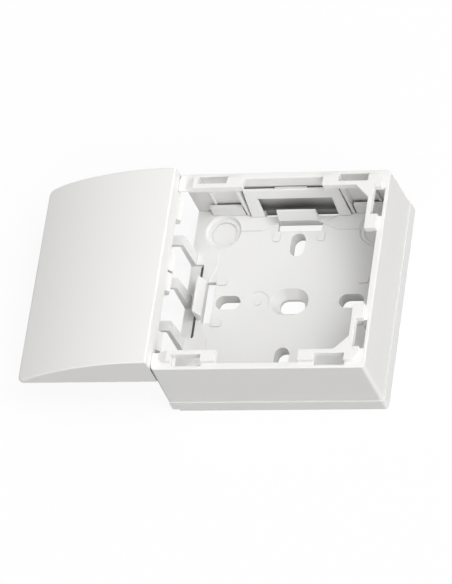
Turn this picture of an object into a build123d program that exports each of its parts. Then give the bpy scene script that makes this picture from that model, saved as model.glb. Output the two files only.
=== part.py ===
from build123d import *

import os

# Trunking side adapter: a square surface box that stands open on its left
# side, with a curved hood over the end of the trunking that enters there.
# X runs to the right along the wall, Y up the wall, Z out of the wall.
# The origin is the centre of the box on the wall face.

os.makedirs("parts", exist_ok=True)

# Box outline
rim_size = 86.4             # outside width at the rim, the same both ways
rim_height = 32.7           # wall face to rim
corner_radius = 1.6         # upright outer corners
wall_draft = 0.75           # how far a wall leans out from rim to parting line
side_wall = 1.8             # wall thickness below the rim band
rim_band_wall = 2.6         # thicker band of wall at the rim
rim_band_height = 6.0
rim_edge_radius = 0.4

# Base plate
floor_top = 6.0             # sunk centre panel above the wall face
floor_thickness = 2.2
border_rise = 0.4           # border around the centre panel stands this much higher
border_width = 11.2         # centre panel's edge from the rim's outer face
bay_setback = 6.6           # bays of the panel beside the hooks end this far from the wall
bay_wide = 33.0
bay_narrow = 18.0
skirt_wall = 2.2
skirt_ledge = 0.4           # the skirt stands proud of the walls above it
skirt_draft = 0.1
open_side_wall = 4.0        # thicker wall under the open left edge
open_side_relief = 1.2      # underside of the left edge clears the wall
open_side_land = 1.4        # part of that wall that does reach the wall face

# Fixing slots, funnel and marks in the floor
slot_pitch = 50.8
slot_length = 10.2
slot_width = 6.0
collar_wall = 1.6
funnel_length = 15.5
funnel_width = 11.8
funnel_hole_length = 10.4
funnel_hole_width = 6.3
funnel_land = 1.5           # straight stretch of the funnel at the wall face
rib_thickness = 1.2
rib_setback = 0.6           # floor ribs stop short of the wall face
rib_end_gap = 1.2           # the middle ribs end this far short of the hook slots
disc_radius = 4.65
disc_offset = 13.1
disc_depth = 0.4
disc_nub_radius = 1.3
dish_radius = 7.4
dish_setback = 9.8          # dish centre from the inside of the walls
dish_depth = 1.4
dish_draw = 0.9             # the dish narrows by this from top to floor
dish_step_radius = 5.2
dish_step_depth = 0.8
dish_floor = 1.4

notch_setback = 0.2         # cable notch behind the front of the entry insert's foot
notch_depth = 2.8

# Snap hooks on the floor, one for each side
hook_setback = 4.5          # back of a hook from the inside of the wall
hook_thickness = 1.7
hook_length = 16.0
hook_height = 7.8           # above the border
hook_nose = 0.8             # the nose reaches this far over its slot
hook_nose_rise = 2.5        # lower corner of the nose above the border
hook_nose_under = 0.6       # height of the sloped underside
hook_nose_face = 1.2        # height of the nose's upright face
hook_top_width = 0.7
hook_slot_width = 3.6
hook_slot_margin = 1.1      # the slot is longer than the hook by this at each end
pad_width = 3.0
pad_length = 4.4
pad_height = 0.5
pad_corner_radius = 1.0
pad_pitch = 18.4
pad_setback = 2.5           # pad centre from the near edge of the hook slot

# Curbs that centre the surround
curb_inset = 1.0            # clearance to the wall
curb_thickness = 1.4
curb_height = 6.3
curb_rail_gap = 0.6         # clearance to the guide rail
curb_corner_gap = 5.0       # a curb ends this far from the next wall

# Left edge: sunk strip, slit and arms for the trunking lid
strip_depth = 1.2
strip_length = 32.8
slit_width = 1.0
slit_length = 32.0
slit_clearance = 0.8        # slit's near edge to the back of the left hook
arm_pitch = 19.0
arm_count = 3
arm_row_offset = 0.6
arm_height = 22.0           # top of the arms above the wall face
arm_foot_thickness = 2.4
arm_foot_width = 5.2
arm_thickness = 1.6
arm_width = 4.3
arm_finger_thickness = 1.5
arm_reach = 8.8             # fingers reach this far past the left edge

# Corner flanges of the surround and the raised blocks on them
flange_thickness = 1.3
flange_width = 7.3          # inner edge from the rim's outer face
flange_gap = 33.0           # open stretch in the middle of each side
flange_corner_cut = 5.5
block_rise = 1.9            # the blocks stand this far above the rim
block_corner_radius = 4.0
block_end_gap = 2.7         # blocks start this far from the open side
block_ramp_length = 3.9     # ramp at that end
window_length = 12.1
window_width = 4.1
window_skin = 1.4           # wall left outside a window
window_corner_distance = 14.35  # window centre from the next side's outer face
rail_thickness = 1.2
rail_projection = 2.7
wall_rib_thickness = 1.0
wall_rib_projection = 1.0
wall_rib_setback = 7.4      # rib from the next wall
knockout_skin = 1.1

# Entry insert
insert_width = 41.2         # at the foot
insert_taper = 0.8          # each side comes in by this from foot to top
insert_clearance = 0.5
insert_foot_depth = 3.4     # front of the foot from the inside of the wall
insert_lean = 2.2           # the plate leans back by this from foot to top
insert_thickness = 1.0
insert_top = 23.8
insert_window_width = 30.4
insert_window_top = 17.7
insert_window_bevel = 0.7
insert_tab_width = 13.2
insert_tab_thickness = 1.2
insert_tab_clearance = 0.1  # tab to the knock-out panel

# Side hood
hood_gap = 0.3              # clearance beside the surround
hood_length = 57.5
hood_top = 38.6
hood_bottom = 22.6
hood_nose_height = 0.5
hood_wall = 2.0
hood_end_wall = 1.8
hood_band_height = 9.0      # height of the end wall
hood_edge_radius = 1.5
hood_corner_radius = 3.0
catch_reach = 1.9
catch_top_rise = 1.2        # catch above the band's lower edge
catch_tip_drop = 1.3
catch_drop = 4.3
outer_catch_length = 8.2
outer_catch_pitch = 58.0
middle_catch_length = 7.8
middle_catch_pitch = 8.8
middle_catch_offset = 1.5
fork_thickness = 1.6
fork_cheek = 1.8
fork_clearance = 0.2
fork_setback = 1.6          # fork to the fingers' tips

# Levels and faces shared by the pieces
rim_half = rim_size / 2
border_top = floor_top + border_rise
wall_height = rim_height - border_top
foot_size = rim_size + 2 * wall_draft
skirt_top_size = foot_size + 2 * skirt_ledge
skirt_foot_size = skirt_top_size + 2 * skirt_draft
inner_half = rim_half - side_wall
band_half = rim_half - rim_band_wall
band_bottom = rim_height - rim_band_height
floor_under = floor_top - floor_thickness
left_face = -rim_half
beyond = 2 * rim_size

hook_outer = inner_half - hook_setback
hook_inner = hook_outer - hook_thickness
hook_top = border_top + hook_height
hook_slot_inner = hook_inner - hook_slot_width
hook_slot_length = hook_length + 2 * hook_slot_margin
rail_start = insert_width / 2 + insert_clearance
curb_outer = inner_half - curb_inset
curb_start = rail_start + rail_thickness + curb_rail_gap
curb_length = inner_half - curb_corner_gap - curb_start
insert_foot_face = inner_half - insert_foot_depth
arm_places = [(step - (arm_count - 1) / 2) * arm_pitch + arm_row_offset for step in range(arm_count)]

# Turns about Z that carry a feature from the right side to every side, and to the walled ones
all_sides = (0, 90, 180, 270)
walled_sides = (0, 90, 270)


def side_plane(turn, height=0.0):
    """Horizontal plane at a height whose x direction points at one side of the box."""
    return Plane.XY.offset(height).rotated((0, 0, turn))


def upright_plane(turn):
    """Upright plane through the box's centre: x points out of one side, y points up."""
    return Plane.XZ.rotated((0, 0, turn))


# Base plate: floor, skirt, hooks, curbs and the arms of the open side
with BuildPart() as base_plate:
    with BuildSketch():
        RectangleRounded(skirt_foot_size, skirt_foot_size, corner_radius)
    with BuildSketch(Plane.XY.offset(border_top)):
        RectangleRounded(skirt_top_size, skirt_top_size, corner_radius)
    loft()

    # Plain left edge
    with BuildSketch():
        with Locations((left_face, 0)):
            Rectangle(beyond, beyond, align=(Align.MAX, Align.CENTER))
    extrude(amount=border_top, mode=Mode.SUBTRACT)

    # Hollow underside inside the skirt
    hollow_left = left_face + open_side_wall
    hollow_right = skirt_foot_size / 2 - skirt_wall
    with BuildSketch():
        with Locations((hollow_left, 0)):
            Rectangle(hollow_right - hollow_left, 2 * hollow_right, align=(Align.MIN, Align.CENTER))
    extrude(amount=floor_under, mode=Mode.SUBTRACT)

    # Stiffening ribs under the floor
    middle_rib_length = 2 * (hook_slot_inner - rib_end_gap)
    with BuildSketch(Plane.XY.offset(rib_setback)):
        Rectangle(middle_rib_length, rib_thickness)
        Rectangle(rib_thickness, middle_rib_length)
        with GridLocations(slot_pitch, 0, 2, 1):
            Rectangle(rib_thickness, 2 * hollow_right)
        with GridLocations(0, slot_pitch, 1, 2):
            Rectangle(2 * hollow_right, rib_thickness)
        with Locations((hollow_left, 0)):
            Rectangle(beyond, beyond, align=(Align.MAX, Align.CENTER), mode=Mode.SUBTRACT)
    extrude(amount=floor_under - rib_setback)

    # Collars around the slots and the funnel, and cups behind the dishes
    with BuildSketch():
        for turn in all_sides:
            with Locations(Location((0, 0, 0), (0, 0, turn))):
                with Locations((slot_pitch / 2, 0)):
                    SlotOverall(slot_length + 2 * collar_wall, slot_width + 2 * collar_wall)
        SlotOverall(funnel_length + 2 * collar_wall, funnel_width + 2 * collar_wall)
    extrude(amount=floor_under)
    dish_offset = inner_half - dish_setback
    dish_bottom = border_top - dish_depth - dish_step_depth
    with BuildSketch(Plane.XY.offset(dish_bottom - dish_floor)):
        with GridLocations(2 * dish_offset, 2 * dish_offset, 2, 2):
            Circle(dish_radius + collar_wall)
    extrude(amount=floor_top - dish_bottom + dish_floor)

    # Sunk centre panel with a bay at each hook
    panel_half = rim_half - border_width
    bay_reach = inner_half - bay_setback
    with BuildSketch(Plane.XY.offset(floor_top)):
        Rectangle(2 * panel_half, 2 * panel_half)
        for turn in all_sides:
            with Locations(Location((0, 0, 0), (0, 0, turn))):
                Polygon(
                    (panel_half - border_rise, -bay_wide / 2),
                    (bay_reach, -bay_narrow / 2),
                    (bay_reach, bay_narrow / 2),
                    (panel_half - border_rise, bay_wide / 2),
                    align=None,
                )
    extrude(amount=border_rise, mode=Mode.SUBTRACT)

    # Stepped dishes in the corners
    for place in GridLocations(2 * dish_offset, 2 * dish_offset, 2, 2):
        with BuildSketch(Plane.XY.offset(border_top)):
            with Locations(place):
                Circle(dish_radius)
        with BuildSketch(Plane.XY.offset(border_top - dish_depth)):
            with Locations(place):
                Circle(dish_radius - dish_draw)
        loft(mode=Mode.SUBTRACT)
    with BuildSketch(Plane.XY.offset(dish_bottom)):
        with GridLocations(2 * dish_offset, 2 * dish_offset, 2, 2):
            Circle(dish_step_radius)
    extrude(amount=dish_step_depth + dish_depth / 2, mode=Mode.SUBTRACT)

    # Round mark with its nub
    with BuildSketch(Plane.XY.offset(floor_top - disc_depth)):
        with Locations((-disc_offset, 0)):
            Circle(disc_radius)
            Circle(disc_nub_radius, mode=Mode.SUBTRACT)
    extrude(amount=disc_depth + border_rise, mode=Mode.SUBTRACT)

    # Oblong funnel in the middle, straight at the wall face
    with BuildSketch(Plane.XY.offset(floor_top)):
        SlotOverall(funnel_length, funnel_width)
    with BuildSketch(Plane.XY.offset(funnel_land)):
        SlotOverall(funnel_hole_length, funnel_hole_width)
    loft(mode=Mode.SUBTRACT)
    with BuildSketch():
        SlotOverall(funnel_hole_length, funnel_hole_width)
    extrude(amount=floor_top, mode=Mode.SUBTRACT)

    # Fixing slots and the slots in front of the hooks
    with BuildSketch():
        for turn in all_sides:
            with Locations(Location((0, 0, 0), (0, 0, turn))):
                with Locations((slot_pitch / 2, 0)):
                    SlotOverall(slot_length, slot_width)
                with Locations((hook_slot_inner, 0)):
                    Rectangle(hook_slot_width, hook_slot_length, align=(Align.MIN, Align.CENTER))
    extrude(amount=border_top, mode=Mode.SUBTRACT)

    # Cable notch in the border behind the entry insert's window
    notch_near = insert_foot_face + notch_setback
    with BuildSketch():
        with Locations((0, notch_near)):
            Rectangle(insert_window_width, notch_depth, align=(Align.CENTER, Align.MIN))
    extrude(amount=border_top, mode=Mode.SUBTRACT)

    # Sunk strip along the left edge and the slit beside it
    slit_near = -(hook_outer + slit_clearance)
    with BuildSketch(Plane.XY.offset(border_top - strip_depth)):
        with Locations((slit_near, arm_row_offset)):
            Rectangle(beyond, strip_length, align=(Align.MAX, Align.CENTER))
    extrude(amount=strip_depth, mode=Mode.SUBTRACT)
    with BuildSketch():
        with Locations((slit_near - slit_width / 2, arm_row_offset)):
            SlotOverall(slit_length, slit_width, rotation=90)
    extrude(amount=border_top, mode=Mode.SUBTRACT)

    # Relief under the left edge
    with BuildSketch():
        with Locations((hollow_left - open_side_land, 0)):
            Rectangle(beyond, beyond, align=(Align.MAX, Align.CENTER))
    extrude(amount=open_side_relief, mode=Mode.SUBTRACT)

    # Snap hooks, their noses over the slots
    nose_bottom = border_top + hook_nose_rise
    for turn in all_sides:
        with BuildSketch(upright_plane(turn)):
            Polygon(
                (hook_inner, floor_under),
                (hook_outer, floor_under),
                (hook_outer, hook_top),
                (hook_outer - hook_top_width, hook_top),
                (hook_inner - hook_nose, nose_bottom + hook_nose_face),
                (hook_inner - hook_nose, nose_bottom),
                (hook_inner, nose_bottom - hook_nose_under),
                align=None,
            )
        extrude(amount=hook_length / 2, both=True)

    # Raised pads beside the hook slots
    pad_offset = hook_slot_inner - pad_setback
    with BuildSketch(Plane.XY.offset(floor_top)):
        for turn in all_sides:
            with Locations(Location((0, 0, 0), (0, 0, turn))):
                with Locations((pad_offset, -pad_pitch / 2), (pad_offset, pad_pitch / 2)):
                    RectangleRounded(pad_length, pad_width, pad_corner_radius)
    extrude(amount=pad_height)

    # Curbs inside the walls
    with BuildSketch(Plane.XY.offset(border_top)):
        for turn in walled_sides:
            with Locations(Location((0, 0, 0), (0, 0, turn))):
                for start in (-curb_start - curb_length, curb_start):
                    with Locations((curb_outer, start)):
                        Rectangle(curb_thickness, curb_length, align=(Align.MAX, Align.MIN))
    extrude(amount=curb_height)

    # Arms: a tapered leg on the left edge with a finger that points outwards
    for place in arm_places:
        with BuildSketch(Plane.XY.offset(floor_under)):
            with Locations((left_face, place)):
                Rectangle(arm_foot_thickness, arm_foot_width, align=(Align.MIN, Align.CENTER))
        with BuildSketch(Plane.XY.offset(arm_height)):
            with Locations((left_face, place)):
                Rectangle(arm_thickness, arm_width, align=(Align.MIN, Align.CENTER))
        loft()
        with BuildSketch(Plane.XY.offset(arm_height - arm_finger_thickness)):
            with Locations((left_face + arm_thickness, place)):
                Rectangle(arm_thickness + arm_reach, arm_width, align=(Align.MAX, Align.CENTER))
        extrude(amount=arm_finger_thickness)

base_plate.part.label = "base_plate"
export_step(base_plate.part, "parts/base_plate.step")


# Surround: three drafted walls with corner flanges at the rim
with BuildPart() as surround_frame:
    with BuildSketch(Plane.XY.offset(border_top)):
        RectangleRounded(foot_size, foot_size, corner_radius)
    with BuildSketch(Plane.XY.offset(rim_height)):
        RectangleRounded(rim_size, rim_size, corner_radius)
    loft()
    rim_edges = surround_frame.faces().sort_by(Axis.Z)[-1].edges()
    fillet(rim_edges, radius=rim_edge_radius)

    # Cavity, open to the left, narrower inside the rim band
    for half, start, height in (
        (inner_half, border_top, wall_height - rim_band_height),
        (band_half, band_bottom, rim_band_height),
    ):
        with BuildSketch(Plane.XY.offset(start)):
            with Locations((half, 0)):
                Rectangle(beyond, 2 * half, align=(Align.MAX, Align.CENTER))
        extrude(amount=height, mode=Mode.SUBTRACT)

    # Straight left ends of the walls
    with BuildSketch(Plane.XY.offset(border_top)):
        with Locations((left_face, 0)):
            Rectangle(beyond, beyond, align=(Align.MAX, Align.CENTER))
    extrude(amount=wall_height, mode=Mode.SUBTRACT)

    # Corner flanges and the raised blocks on them, with cut corners on the walled side
    flange_inner = rim_half - flange_width
    flange_half = (rim_half + band_half) / 2
    block_left = left_face + block_end_gap
    for left, half, radius, start, height in (
        (left_face, flange_half, rim_band_wall / 2, rim_height - flange_thickness, flange_thickness),
        (block_left, band_half, block_corner_radius, rim_height, block_rise),
    ):
        with BuildSketch(Plane.XY.offset(start)):
            with Locations((left, 0)):
                RectangleRounded(half - left, 2 * half, radius, align=(Align.MIN, Align.CENTER))
            Polygon(
                (-beyond, -flange_inner),
                (flange_inner - flange_corner_cut, -flange_inner),
                (flange_inner, -flange_inner + flange_corner_cut),
                (flange_inner, flange_inner - flange_corner_cut),
                (flange_inner - flange_corner_cut, flange_inner),
                (-beyond, flange_inner),
                align=None,
                mode=Mode.SUBTRACT,
            )
            Rectangle(flange_gap, beyond, mode=Mode.SUBTRACT)
            Rectangle(beyond, flange_gap, mode=Mode.SUBTRACT)
        extrude(amount=height)

    # Ramps down to the rim at the open side
    block_top = rim_height + block_rise
    with BuildSketch(Plane.XZ):
        Polygon(
            (block_left, rim_height),
            (block_left + block_ramp_length, block_top),
            (block_left, block_top),
            align=None,
        )
    extrude(amount=rim_half, both=True, mode=Mode.SUBTRACT)

    # Catch windows through the blocks
    window_outer = rim_half - window_skin
    window_offset = rim_half - window_corner_distance
    for turn in walled_sides:
        with BuildSketch(side_plane(turn, band_bottom)):
            with Locations((window_outer, -window_offset), (window_outer, window_offset)):
                Rectangle(window_width, window_length, align=(Align.MAX, Align.CENTER))
        extrude(amount=block_top - band_bottom, mode=Mode.SUBTRACT)

    # Knock-out panels, guide rails and ribs inside the walls
    knockout_face = rim_half - knockout_skin
    for turn in walled_sides:
        with BuildSketch(side_plane(turn, border_top)):
            with Locations((knockout_face, 0)):
                Rectangle(side_wall, 2 * rail_start, align=(Align.MAX, Align.CENTER))
        extrude(amount=band_bottom - border_top, mode=Mode.SUBTRACT)
        with BuildSketch(side_plane(turn, border_top)):
            for start in (-rail_start - rail_thickness, rail_start):
                with Locations((inner_half, start)):
                    Rectangle(rail_projection, rail_thickness, align=(Align.MAX, Align.MIN))
        extrude(amount=band_bottom - border_top)
    wall_rib_offset = inner_half - wall_rib_setback
    for turn in walled_sides:
        with BuildSketch(side_plane(turn, border_top + curb_height)):
            with Locations((inner_half, -wall_rib_offset), (inner_half, wall_rib_offset)):
                Rectangle(wall_rib_projection, wall_rib_thickness, align=(Align.MAX, Align.CENTER))
        extrude(amount=wall_height - curb_height - rim_band_height)

surround_frame.part.label = "surround_frame"
export_step(surround_frame.part, "parts/surround_frame.step")


# Entry insert: a thin leaning frame that stands inside the back wall, with a window for cables
insert_top_face = insert_foot_face + insert_lean
insert_half = insert_width / 2
with BuildPart() as entry_insert:
    with BuildSketch(Plane.YZ):
        Polygon(
            (insert_foot_face, border_top),
            (insert_foot_face + insert_thickness, border_top),
            (insert_top_face + insert_thickness, insert_top),
            (insert_top_face, insert_top),
            align=None,
        )
    extrude(amount=insert_half, both=True)

    # Sides that taper towards the top, and the window
    with BuildSketch(Plane.XZ):
        Polygon(
            (-insert_half, border_top),
            (insert_half, border_top),
            (insert_half - insert_taper, insert_top),
            (insert_taper - insert_half, insert_top),
            align=None,
        )
        with Locations((0, border_top)):
            Rectangle(
                insert_window_width,
                insert_window_top - border_top,
                align=(Align.CENTER, Align.MIN),
                mode=Mode.SUBTRACT,
            )
    extrude(amount=-beyond, mode=Mode.INTERSECT)
    front_face = entry_insert.faces().sort_by(SortBy.AREA)[-2:].sort_by(Axis.Y)[0]
    window_reach = insert_window_width / 2 + insert_window_bevel
    window_edges = (
        front_face.edges()
        .filter_by_position(Axis.X, -window_reach, window_reach)
        .filter_by_position(Axis.Z, border_top + insert_window_bevel, insert_window_top + insert_window_bevel)
    )
    chamfer(window_edges, length=insert_window_bevel)

    # Tab that reaches back to the knock-out panel
    with BuildSketch(Plane.XY.offset(insert_top)):
        with Locations((0, knockout_face - insert_tab_clearance)):
            Rectangle(
                insert_tab_width,
                knockout_face - insert_tab_clearance - insert_top_face - insert_thickness / 2,
                align=(Align.CENTER, Align.MAX),
            )
    extrude(amount=-insert_tab_thickness)

entry_insert.part.label = "entry_insert"
export_step(entry_insert.part, "parts/entry_insert.step")


# Side hood: a curved canopy over the end of the trunking
hood_right = -rim_half - hood_gap
hood_left = hood_right - hood_length
hood_nose_top = hood_bottom + hood_nose_height

# Centre of the hood's arc, which is level where it meets the box
hood_rise = hood_top - hood_nose_top
hood_arc_radius = (hood_length**2 + hood_rise**2) / (2 * hood_rise)
arc_centre_z = hood_top - hood_arc_radius

finger_tip = left_face - arm_reach
catches = [
    (middle_catch_offset - middle_catch_pitch / 2, middle_catch_length),
    (middle_catch_offset + middle_catch_pitch / 2, middle_catch_length),
    (-outer_catch_pitch / 2, outer_catch_length),
    (outer_catch_pitch / 2, outer_catch_length),
]

with BuildPart() as side_hood:
    # Outer form: the arc over a straight bottom, with rounded corners at the low end
    with BuildSketch(Plane.XZ):
        with Locations((hood_right, arc_centre_z)):
            Circle(hood_arc_radius)
        with Locations((hood_left, hood_bottom)):
            Rectangle(hood_length, hood_top - hood_bottom, align=(Align.MIN, Align.MIN), mode=Mode.INTERSECT)
    extrude(amount=rim_half, both=True)
    with BuildSketch(Plane.XY.offset(hood_bottom)):
        with Locations((hood_left, 0)):
            RectangleRounded(2 * hood_length, rim_size, hood_corner_radius, align=(Align.MIN, Align.CENTER))
    extrude(amount=hood_top - hood_bottom, mode=Mode.INTERSECT)
    curved_face = side_hood.faces().sort_by(SortBy.AREA)[-1]
    outer_edges = curved_face.edges().sort_by(Axis.X)[-3:]
    fillet(outer_edges, radius=hood_edge_radius)

    # Hollow inside, open at the bottom
    with BuildSketch(Plane.XZ):
        with Locations((hood_right, arc_centre_z)):
            Circle(hood_arc_radius - hood_wall)
        with Locations((hood_right - hood_end_wall, hood_bottom)):
            Rectangle(hood_length, hood_top - hood_bottom, align=(Align.MAX, Align.MIN), mode=Mode.INTERSECT)
    extrude(amount=rim_half - hood_wall, both=True, mode=Mode.SUBTRACT)

    # The end wall is only a band above the cable opening
    with BuildSketch(Plane.XY.offset(hood_bottom)):
        with Locations((hood_right, 0)):
            Rectangle(2 * hood_end_wall, rim_size - 2 * hood_wall)
    hood_band_bottom = hood_top - hood_band_height
    extrude(amount=hood_band_bottom - hood_bottom, mode=Mode.SUBTRACT)

    # Catches along the lower edge of the band
    for place, length in catches:
        with BuildSketch(Plane.XZ.offset(-place)):
            Polygon(
                (hood_right - hood_end_wall, hood_band_bottom + catch_top_rise),
                (hood_right, hood_band_bottom + catch_top_rise),
                (hood_right + catch_reach, hood_band_bottom - catch_tip_drop),
                (hood_right, hood_band_bottom - catch_drop),
                (hood_right - hood_end_wall, hood_band_bottom - catch_drop),
                align=None,
            )
        extrude(amount=length / 2, both=True)

    # Forks that stand astride the arms' fingers and rest on them
    fork_right = finger_tip + fork_setback + fork_thickness
    for place in arm_places:
        with BuildSketch(Plane.XY.offset(arm_height - arm_finger_thickness)):
            with Locations((fork_right, place)):
                Rectangle(
                    fork_thickness,
                    arm_width + 2 * (fork_clearance + fork_cheek),
                    align=(Align.MAX, Align.CENTER),
                )
        extrude(amount=hood_top - hood_wall - arm_height + arm_finger_thickness)
        with BuildSketch(Plane.XY.offset(arm_height - arm_finger_thickness)):
            with Locations((fork_right, place)):
                Rectangle(fork_thickness, arm_width + 2 * fork_clearance, align=(Align.MAX, Align.CENTER))
        extrude(amount=arm_finger_thickness, mode=Mode.SUBTRACT)

side_hood.part.label = "side_hood"
export_step(side_hood.part, "parts/side_hood.step")
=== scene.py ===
"""Looks of the trunking side adapter: its mouldings, their plastic, the studio and the camera."""

import logging
import math
from dataclasses import dataclass
from enum import Enum

import bmesh
import bpy
from mathutils import Matrix, Vector


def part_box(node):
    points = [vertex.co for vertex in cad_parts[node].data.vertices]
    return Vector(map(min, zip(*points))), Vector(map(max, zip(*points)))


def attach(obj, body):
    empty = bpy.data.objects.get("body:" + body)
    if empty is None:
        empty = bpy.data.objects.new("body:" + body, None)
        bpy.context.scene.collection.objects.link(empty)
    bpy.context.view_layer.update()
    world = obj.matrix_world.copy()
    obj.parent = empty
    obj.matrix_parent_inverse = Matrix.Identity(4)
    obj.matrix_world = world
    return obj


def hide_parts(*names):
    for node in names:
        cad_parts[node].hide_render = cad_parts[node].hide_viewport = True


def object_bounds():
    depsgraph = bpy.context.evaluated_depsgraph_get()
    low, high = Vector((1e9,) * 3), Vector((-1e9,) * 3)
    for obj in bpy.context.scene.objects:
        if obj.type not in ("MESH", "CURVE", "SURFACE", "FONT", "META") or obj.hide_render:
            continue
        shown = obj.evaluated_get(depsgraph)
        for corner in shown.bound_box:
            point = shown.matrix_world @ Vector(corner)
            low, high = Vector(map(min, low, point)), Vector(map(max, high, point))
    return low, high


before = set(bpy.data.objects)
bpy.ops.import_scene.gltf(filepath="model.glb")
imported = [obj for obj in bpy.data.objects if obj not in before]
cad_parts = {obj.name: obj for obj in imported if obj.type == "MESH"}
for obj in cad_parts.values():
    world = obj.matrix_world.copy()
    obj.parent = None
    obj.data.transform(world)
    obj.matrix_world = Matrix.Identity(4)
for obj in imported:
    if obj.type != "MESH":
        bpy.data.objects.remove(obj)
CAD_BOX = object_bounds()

LOG = logging.getLogger("adapter")
MM = 0.001
BODY = "root"
WHITE = (1.0, 1.0, 1.0, 1.0)
Colour = tuple[float, float, float] | bpy.types.NodeSocket


class Slot(Enum):
    """The record's material slots."""

    SHELL = "shell"
    PLATE = "plate"


class Number:
    """A shader socket that takes part in Python sums, so that masks read like arithmetic."""

    def __init__(self, tree: "ShaderTree", socket: bpy.types.NodeSocket) -> None:
        """Wraps one output socket.

        Args:
            tree: The tree that owns the socket.
            socket: The output socket.
        """
        self.tree = tree
        self.socket = socket

    def math(self, operation: str, other: "Number | float", swapped: bool = False) -> "Number":
        """Adds one Math node.

        Args:
            operation: The Math node's operation.
            other: The second operand.
            swapped: True if other comes first.

        Returns:
            The result.
        """
        operands = (other, self) if swapped else (self, other)
        return self.tree.add("ShaderNodeMath", {"operation": operation}, dict(enumerate(operands)))

    def __add__(self, other: "Number | float") -> "Number":
        """Sum."""
        return self.math("ADD", other)

    def __sub__(self, other: "Number | float") -> "Number":
        """Difference."""
        return self.math("SUBTRACT", other)

    def __rsub__(self, other: float) -> "Number":
        """Difference from a plain number."""
        return self.math("SUBTRACT", other, swapped=True)

    def __mul__(self, other: "Number | float") -> "Number":
        """Product."""
        return self.math("MULTIPLY", other)

    def clamped(self) -> "Number":
        """The number held between 0 and 1."""
        return self.math("MAXIMUM", 0.0).math("MINIMUM", 1.0)

    __radd__ = __add__
    __rmul__ = __mul__


class ShaderTree:
    """The node tree of a material or of the room, and the ways to add to it."""

    MIX_SHARE, MIX_FIRST, MIX_SECOND = 0, 6, 7  # the Mix node's inputs for colours
    MIX_RESULT = 2  # its output for colours

    def __init__(self, owner: bpy.types.Material | bpy.types.World) -> None:
        """Empties the owner's node tree.

        Args:
            owner: The new material or world.
        """
        owner.use_nodes = True
        self.owner = owner
        self.nodes = owner.node_tree.nodes
        self.links = owner.node_tree.links
        self.nodes.clear()

    def node(self, kind: str, settings: dict | None = None, values: dict | None = None) -> bpy.types.Node:
        """Adds any node.

        Args:
            kind: The node's type.
            settings: The node's own settings, which are set first.
            values: Values or links for its input sockets, by name or index.

        Returns:
            The node.
        """
        made = self.nodes.new(kind)
        for key, value in (settings or {}).items():
            setattr(made, key, value)
        for key, value in (values or {}).items():
            if isinstance(value, Number):
                value = value.socket
            if isinstance(value, bpy.types.NodeSocket):
                self.links.new(value, made.inputs[key])
            else:
                made.inputs[key].default_value = value
        return made

    def add(
        self, kind: str, settings: dict | None = None, values: dict | None = None, output: int | str = 0
    ) -> Number:
        """Adds a node and wraps one of its outputs.

        Args:
            kind: The node's type.
            settings: The node's own settings.
            values: Values or links for its input sockets.
            output: The output's name or index.

        Returns:
            The wrapped output.
        """
        return Number(self, self.node(kind, settings, values).outputs[output])

    def mixed(self, share: Number, first: Colour, second: Colour) -> bpy.types.NodeSocket:
        """Mixes two colours.

        Args:
            share: The share of the second colour.
            first: The first colour, or a socket that gives it.
            second: The second colour.

        Returns:
            The mixed colour.
        """
        ends = [end if isinstance(end, bpy.types.NodeSocket) else (*end, 1.0) for end in (first, second)]
        values = {self.MIX_SHARE: share, self.MIX_FIRST: ends[0], self.MIX_SECOND: ends[1]}
        return self.node("ShaderNodeMix", {"data_type": "RGBA"}, values).outputs[self.MIX_RESULT]

    def blended(self, share: Number, first: bpy.types.Node, second: bpy.types.Node) -> bpy.types.Node:
        """Mixes two shaders.

        Args:
            share: The share of the second shader.
            first: The first shader node.
            second: The second shader node.

        Returns:
            The node that mixes them.
        """
        return self.node("ShaderNodeMixShader", None, {0: share, 1: first.outputs[0], 2: second.outputs[0]})

    def surface(self, shader: bpy.types.Node) -> bpy.types.Material | bpy.types.World:
        """Sends a shader to the output.

        Args:
            shader: The shader node.

        Returns:
            The finished material or world.
        """
        kind = "World" if isinstance(self.owner, bpy.types.World) else "Material"
        self.node(f"ShaderNodeOutput{kind}", None, {"Surface": shader.outputs[0]})
        return self.owner


@dataclass(frozen=True)
class Noise:
    """A random pattern on the piece's own coordinates.

    Args:
        size: The width of one patch.
        detail: The number of finer layers.
        harshness: How strong the finer layers are.
    """

    size: float
    detail: float
    harshness: float = 0.5

    def value(self, tree: ShaderTree) -> Number:
        """Adds the pattern.

        Args:
            tree: The plastic's tree.

        Returns:
            Its value, about 0.5 on average.
        """
        place = tree.node("ShaderNodeTexCoord").outputs["Object"]
        look = {"Scale": 1 / self.size, "Detail": self.detail, "Roughness": self.harshness}
        return tree.add("ShaderNodeTexNoise", None, {"Vector": place, **look})


@dataclass(frozen=True)
class CreviceShade:
    """Painted shade: the colour darkens where walls stand near each other, as little light gets between
    them.

    Args:
        reach: How near they stand.
        start: How open a place is where the shade begins.
        shade: How much of the colour the deepest shade leaves.
    """

    reach: float
    start: float
    shade: float

    def depth(self, tree: ShaderTree) -> Number:
        """Tells how closed in a point is.

        Args:
            tree: The plastic's tree.

        Returns:
            0 on open faces, 1 in the narrowest gap.
        """
        open_share = tree.add("ShaderNodeAmbientOcclusion", None, {"Distance": self.reach}, "AO")
        return ((self.start - open_share) * (1 / self.start)).clamped()


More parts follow.
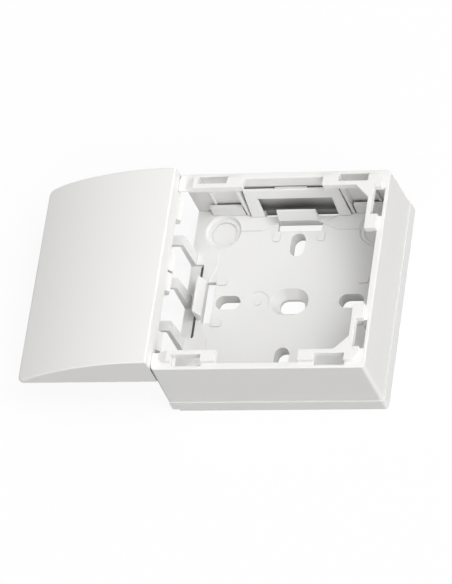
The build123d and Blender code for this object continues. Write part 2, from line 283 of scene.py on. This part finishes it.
@dataclass(frozen=True)
class PocketShade:
    """Painted shade in a deep place whose walls see little light: the colour darkens towards the bottom.

    Args:
        low: Its lowest corner.
        high: Its highest corner.
        fade: How far from its sides the shade ends.
        shade: How much of the colour stays at the bottom.
    """

    low: tuple[float, float, float]
    high: tuple[float, float, float]
    fade: float = 0.6 * MM
    shade: float = 0.22

    @classmethod
    def behind(cls, node: str, reach: float, foot: float, head: float) -> "PocketShade":
        """Makes the painted shade at the back of a piece.

        Args:
            node: The piece.
            reach: How far the pocket reaches before and behind the piece's back.
            foot: Its bottom above the piece's foot.
            head: Its top above the piece's foot.

        Returns:
            The pocket, as wide as the piece.
        """
        low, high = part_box(node)
        return cls(
            low=(low[0], high[1] - reach, low[2] + foot),
            high=(high[0], high[1] + reach, low[2] + head),
        )

    def depth(self, tree: ShaderTree) -> Number:
        """Tells how deep in the pocket a point lies.

        Args:
            tree: The plastic's tree.

        Returns:
            0 outside and at the top, 1 at the bottom.
        """
        place = tree.node("ShaderNodeTexCoord").outputs["Object"]
        split = tree.node("ShaderNodeSeparateXYZ", None, {"Vector": place})
        x, y, z = (Number(tree, output) for output in split.outputs)
        inside = ((self.high[2] - z) * (1 / (self.high[2] - self.low[2]))).clamped()
        for axis, low, high in ((x, self.low[0], self.high[0]), (y, self.low[1], self.high[1])):
            for past_side in (axis - low, high - axis):
                inside = inside * (past_side * (1 / self.fade)).clamped()
        return inside


@dataclass(frozen=True)
class MouldedPlastic:
    """White moulded plastic with the fine grain of a spark-eroded mould, and painted shade in its gaps,
    inner corners and deep places.

    Args:
        name: The material's name.
        tint: Its colour.
        clouding: How far the colour drifts over the piece.
        cloud: The pattern of that drift.
        roughness: How matt it is.
        roughness_drift: How far that changes with the grain.
        refraction: Its index of refraction.
        reflectance: How strongly it mirrors, 0.5 being what the index alone gives.
        grain: The pattern of the mould's grain.
        grain_depth: The height of the grain.
        ripple: The pattern of the slow waves that shrinkage leaves.
        ripple_depth: The height of those waves.
        crevices: The painted shade in its gaps and along its inner corners.
        pockets: The painted shade in its deep places.
    """

    name: str
    tint: tuple[float, float, float]
    clouding: float = 0.012
    cloud: Noise = Noise(22 * MM, 3.0)
    roughness: float = 0.46
    roughness_drift: float = 0.12
    refraction: float = 1.49
    reflectance: float = 0.4
    grain: Noise = Noise(0.28 * MM, 3.0, 0.6)
    grain_depth: float = 0.012 * MM
    ripple: Noise = Noise(14 * MM, 1.0)
    ripple_depth: float = 0.02 * MM
    crevices: tuple[CreviceShade, ...] = (CreviceShade(2.5 * MM, 0.42, 0.05), CreviceShade(0.9 * MM, 0.8, 0.3))
    pockets: tuple[PocketShade, ...] = ()

    def build(self) -> bpy.types.Material:
        """Makes the node material.

        Returns:
            The material.
        """
        tree = ShaderTree(bpy.data.materials.new(self.name))
        grain = self.grain.value(tree)
        deep = tuple(channel * (1 - self.clouding) for channel in self.tint)
        colour = tree.mixed(self.cloud.value(tree), deep, self.tint)
        # Painted shade: the colour darkens in gaps, along inner corners and in the deep places.
        for hollow in (*self.crevices, *self.pockets):
            dark = tuple(channel * hollow.shade for channel in self.tint)
            colour = tree.mixed(hollow.depth(tree), colour, dark)
        height = grain * self.grain_depth + self.ripple.value(tree) * self.ripple_depth
        relief = tree.add("ShaderNodeBump", None, {"Height": height, "Distance": 1.0, "Strength": 1.0})
        shine = self.roughness - self.roughness_drift / 2 + grain * self.roughness_drift
        plastic = tree.node(
            "ShaderNodeBsdfPrincipled",
            None,
            {
                "Base Color": colour,
                "Roughness": shine,
                "IOR": self.refraction,
                "Specular IOR Level": self.reflectance,
                "Normal": relief,
            },
        )
        return tree.surface(plastic)


@dataclass
class Moulding:
    """One plastic moulding: a copy of its solid with the soft edges that a mould gives.

    Args:
        node: The solid that it stands for.
        finish: Its plastic.
        slot: Its material slot in the record; not used.
        edge_radius: The radius left on its sharp edges.
        edge_segments: The facets across that radius.
        corner_angle: The least angle between two faces that gets the radius.
        crease_angle: The least angle between two faces that still looks like an edge.
        fold_angle: The least angle between two faces that is a fold in the skin.
        fold_reach: How far from a fold the edges stay sharp.
        edge_room: The least length and width beside an edge, in radii, that leaves room for its radius.
        tries: How often the edges are rounded again without those that fold the skin.
        weld: The distance under which two points are one.
    """

    node: str
    finish: MouldedPlastic
    slot: Slot
    edge_radius: float = 0.16 * MM
    edge_segments: int = 2
    corner_angle: float = math.radians(50)
    crease_angle: float = math.radians(24)
    fold_angle: float = math.radians(118)
    fold_reach: float = 1.5 * MM
    edge_room: float = 2.6
    tries: int = 4
    weld: float = 0.002 * MM

    def merged(self) -> bmesh.types.BMesh:
        """Copies the solid's mesh and joins its loose triangles.

        Returns:
            The merged copy.
        """
        mesh = bmesh.new()
        mesh.from_mesh(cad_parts[self.node].data)
        bmesh.ops.remove_doubles(mesh, verts=mesh.verts[:], dist=self.weld)
        return mesh

    def corners(self, mesh: bmesh.types.BMesh, folds: list[Vector]) -> list[bmesh.types.BMEdge]:
        """Finds the sharp edges that have room for a radius.

        Args:
            mesh: The merged copy.
            folds: The places where an earlier radius folded the skin.

        Returns:
            The edges.
        """
        least = self.edge_room * self.edge_radius
        found = []
        for edge in mesh.edges:
            if len(edge.link_faces) != 2 or edge.calc_face_angle(0.0) < self.corner_angle:
                continue
            length = edge.calc_length()
            lengths = [neighbour.calc_length() for vertex in edge.verts for neighbour in vertex.link_edges]
            widths = [2 * face.calc_area() / length for face in edge.link_faces]
            middle = (edge.verts[0].co + edge.verts[1].co) / 2
            reach = length / 2 + self.fold_reach
            if min(lengths + widths) > least and all((middle - fold).length > reach for fold in folds):
                found.append(edge)
        return found

    def soften(self, mesh: bmesh.types.BMesh, folds: list[Vector]) -> list[Vector]:
        """Rounds the sharp edges and marks the creases that stay.

        Args:
            mesh: The merged copy.
            folds: The places where an earlier radius folded the skin.

        Returns:
            The places where this radius folded it.
        """
        rounded = bmesh.ops.bevel(
            mesh,
            geom=self.corners(mesh, folds),
            offset=self.edge_radius,
            offset_type="OFFSET",
            affect="EDGES",
            segments=self.edge_segments,
            profile=0.5,
            material=-1,
            clamp_overlap=False,
            miter_outer="ARC",
        )
        radius_faces = set(rounded["faces"])
        folded = []
        for edge in mesh.edges:
            angle = edge.calc_face_angle(0.0)
            beside_radius = any(face in radius_faces for face in edge.link_faces)
            edge.smooth = angle < (self.corner_angle if beside_radius else self.crease_angle)
            if beside_radius and angle > self.fold_angle:
                folded.append((edge.verts[0].co + edge.verts[1].co) / 2)
        return folded

    def build(self) -> bpy.types.Object:
        """Makes the piece and dresses it.

        Returns:
            The piece.
        """
        folds: list[Vector] = []
        for _ in range(self.tries):
            mesh = self.merged()
            folded = self.soften(mesh, folds)
            if not folded:
                break
            folds += folded
            LOG.info("%s: %d folds left", self.node, len(folded))
        for face in mesh.faces:
            face.smooth = True
        data = bpy.data.meshes.new(self.node)
        mesh.to_mesh(data)
        mesh.free()
        data.materials.clear()
        data.materials.append(self.finish.build())
        piece = bpy.data.objects.new(f"{self.node}_moulding", data)
        bpy.context.scene.collection.objects.link(piece)
        flatten = piece.modifiers.new("flat_faces", "WEIGHTED_NORMAL")
        flatten.keep_sharp = True
        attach(piece, BODY)
        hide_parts(self.node)
        LOG.info("%s: %d faces", piece.name, len(data.polygons))
        return piece


@dataclass
class Hood(Moulding):
    """The curved hood, whose long edges are crisper than its solid's.

    Args:
        crease_angle: The least angle between two faces that still looks like an edge.
        solid_radius: The radius of the solid's long edges.
        crisp_radius: The radius that they get.
        nose_level: The height of the arc's low end.
        catch_reach: How far the catches stand out past the end wall.
        corner_reach: How far the rounded corners reach from the low end.
        fade: The length over which the edges go from the solid's radius to the crisp one.
        closing: How much of the gap to the box its end closes.
    """

    crease_angle: float = math.radians(48)
    solid_radius: float = 1.5 * MM
    crisp_radius: float = 0.55 * MM
    nose_level: float = 23.1 * MM
    catch_reach: float = 1.9 * MM
    corner_reach: float = 3.0 * MM
    fade: float = 5.0 * MM
    closing: float = 0.27 * MM

    def merged(self) -> bmesh.types.BMesh:
        """Copies the solid's mesh and draws its long edges and its end outwards.

        Returns:
            The merged copy.
        """
        mesh = super().merged()
        low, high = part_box(self.node)
        right = high[0] - self.catch_reach
        rise = high[2] - self.nose_level
        arc_radius = ((right - low[0]) ** 2 + rise**2) / (2 * rise)
        centre = Vector((right, 0, high[2] - arc_radius))
        limit = self.solid_radius + self.weld
        for vertex in mesh.verts:
            place = vertex.co
            spoke = Vector((place.x - centre.x, 0, place.z - centre.z))
            from_arc = arc_radius - spoke.length
            from_end = right - place.x
            from_side = high[1] - abs(place.y)
            if from_arc > limit or from_end < -self.weld or min(from_end, from_side) >= limit:
                continue
            outward = spoke.normalized() * from_arc
            if from_end < limit:
                outward.x += from_end
            if from_side < limit:
                outward.y += math.copysign(from_side, place.y)
            along = (place.x - low[0] - self.corner_reach) / self.fade
            pull = (1 - self.crisp_radius / self.solid_radius) * min(max(along, 0.0), 1.0)
            vertex.co = place + outward * pull
        for vertex in mesh.verts:
            if abs(vertex.co.x - right) < self.weld:
                vertex.co.x += self.closing
        return mesh


@dataclass(frozen=True)
class Softbox:
    """A soft patch of light in the room.

    Args:
        towards: Its direction, seen from the adapter.
        focus: How narrow it is, as the power of a cosine.
        level: Its strength at the middle.
    """

    towards: tuple[float, float, float]
    focus: float
    level: float

    def glow(self, tree: ShaderTree, place: bpy.types.NodeSocket) -> Number:
        """Adds its light.

        Args:
            tree: The room's tree.
            place: The direction that is looked in.

        Returns:
            Its strength in that direction.
        """
        values = {0: place, 1: Vector(self.towards).normalized()}
        facing = tree.add("ShaderNodeVectorMath", {"operation": "DOT_PRODUCT"}, values, "Value")
        return facing.math("MAXIMUM", 0.0).math("POWER", self.focus) * self.level


@dataclass
class Studio:
    """The pale floor and the soft light of the room.

    Args:
        floor_width: The floor's width.
        floor_shade: How pale the floor is where it lights the adapter.
        floor_paleness: How pale it is where it is seen.
        floor_whiteness: How far it is seen as plain white instead of with its shadow.
        room_level: The strength of the light from all round.
        softboxes: The stronger patches of light.
    """

    floor_width: float = 6.0
    floor_shade: float = 0.12
    floor_paleness: float = 0.9
    floor_whiteness: float = 0.9
    room_level: float = 0.2
    softboxes: tuple[Softbox, ...] = (
        Softbox((0.55, -0.1, 0.83), 30.0, 7.5),
        Softbox((0.0, 0.0, 1.0), 8.0, 0.6),
        Softbox((0.7, -0.7, 0.15), 4.0, 2.7),
        Softbox((-1.0, 0.0, 0.15), 4.0, 0.6),
        Softbox((0.0, 1.0, 0.15), 4.0, 0.6),
    )

    def seen(self, tree: ShaderTree) -> Number:
        """Tells what is seen straight, in a mirror or through glass from what only lights the adapter.

        Args:
            tree: The tree to add to.

        Returns:
            1 where the backdrop is seen.
        """
        path = tree.node("ShaderNodeLightPath")
        kinds = ("Camera", "Glossy", "Transmission")
        straight, mirrored, through = (Number(tree, path.outputs[f"Is {kind} Ray"]) for kind in kinds)
        return straight.math("MAXIMUM", mirrored).math("MAXIMUM", through)

    def build_floor(self) -> None:
        """Makes the floor, which keeps a pale shadow."""
        mesh = bmesh.new()
        bmesh.ops.create_grid(mesh, x_segments=1, y_segments=1, size=self.floor_width / 2)
        data = bpy.data.meshes.new("floor")
        mesh.to_mesh(data)
        mesh.free()
        floor = bpy.data.objects.new("floor", data)
        bpy.context.scene.collection.objects.link(floor)
        floor.location.z = CAD_BOX[0].z
        tree = ShaderTree(bpy.data.materials.new("pale_floor"))
        seen = self.seen(tree)
        shade = seen * (self.floor_paleness - self.floor_shade) + self.floor_shade
        matt = tree.node("ShaderNodeBsdfDiffuse", None, {"Color": shade})
        white = tree.node("ShaderNodeEmission", None, {"Color": WHITE, "Strength": 1.0})
        data.materials.append(tree.surface(tree.blended(seen * self.floor_whiteness, matt, white)))

    def build_room(self) -> None:
        """Makes the room's light, white where it is seen."""
        tree = ShaderTree(bpy.data.worlds.new("room"))
        place = tree.node("ShaderNodeTexCoord").outputs["Generated"]
        strength = sum((softbox.glow(tree, place) for softbox in self.softboxes), start=self.room_level)
        light = tree.node("ShaderNodeBackground", None, {"Color": WHITE, "Strength": strength})
        white = tree.node("ShaderNodeBackground", None, {"Color": WHITE, "Strength": 1.0})
        bpy.context.scene.world = tree.surface(tree.blended(self.seen(tree), light, white))

    def build(self) -> None:
        """Makes the floor and the room."""
        self.build_floor()
        self.build_room()


@dataclass(frozen=True)
class Camera:
    """The camera, placed as the photograph was taken.

    Args:
        right: The picture's right, in the adapter's frame.
        down: The picture's downward direction.
        place: Where the camera stands.
        focal_pixels: Its focal length, in pixels of the picture.
        picture_height: The picture's height in pixels.
        sensor: The sensor's long side, in millimetres.
        near: The nearest distance that it shows.
        far: The farthest distance that it shows.
    """

    right: tuple[float, float, float] = (0.9499, 0.13452, -0.28214)
    down: tuple[float, float, float] = (-0.01495, -0.88208, -0.47086)
    place: tuple[float, float, float] = (0.57793, -0.86981, 1.62516)
    focal_pixels: float = 4918.0
    picture_height: float = 584.0
    sensor: float = 36.0
    near: float = 0.1
    far: float = 20.0

    def build(self) -> None:
        """Makes the camera and gives it to the scene."""
        across = Vector(self.right).normalized()
        upward = -Vector(self.down)
        upward = (upward - across * upward.dot(across)).normalized()
        backward = across.cross(upward)
        data = bpy.data.cameras.new("camera")
        data.sensor_width = self.sensor
        data.lens = self.focal_pixels / self.picture_height * self.sensor
        data.clip_start = self.near
        data.clip_end = self.far
        camera = bpy.data.objects.new("camera", data)
        turn = Matrix((across, upward, backward)).transposed().to_4x4()
        camera.matrix_world = Matrix.Translation(Vector(self.place)) @ turn
        bpy.context.scene.collection.objects.link(camera)
        bpy.context.scene.camera = camera


def main() -> None:
    """Builds the adapter, its studio and its camera."""
    logging.basicConfig(level=logging.INFO, format="%(name)s: %(message)s")
    # Painted shade on the walls behind the insert, darker towards the bottom
    window_shade = PocketShade.behind("entry_insert", reach=1.5 * MM, foot=2.0 * MM, head=11.5 * MM)
    # Painted shade in the cut beside the left hook, drawn 0.3 mm past it on both sides, dark from the
    # plate's top down
    slit_shade = PocketShade(
        low=(-39.0 * MM, -15.4 * MM, 6.4 * MM),
        high=(-37.4 * MM, 16.6 * MM, 6.9 * MM),
        fade=0.2 * MM,
        shade=0.03,
    )
    shell = MouldedPlastic("shell_plastic", (0.855, 0.848, 0.832), pockets=(window_shade,))
    plate = MouldedPlastic("plate_plastic", (0.852, 0.85, 0.843), roughness=0.42, pockets=(window_shade, slit_shade))
    cover = MouldedPlastic("insert_plastic", (0.9, 0.898, 0.892), roughness=0.4)
    parts = (
        Moulding("base_plate", plate, Slot.PLATE, edge_radius=0.12 * MM),
        Moulding("surround_frame", shell, Slot.SHELL),
        Hood("side_hood", shell, Slot.SHELL),
        Moulding("entry_insert", cover, Slot.PLATE),
    )
    for part in parts:
        part.build()
    Studio().build()
    Camera().build()
    bpy.context.scene.view_settings.view_transform = "Standard"


if __name__ == "__main__":
    main()
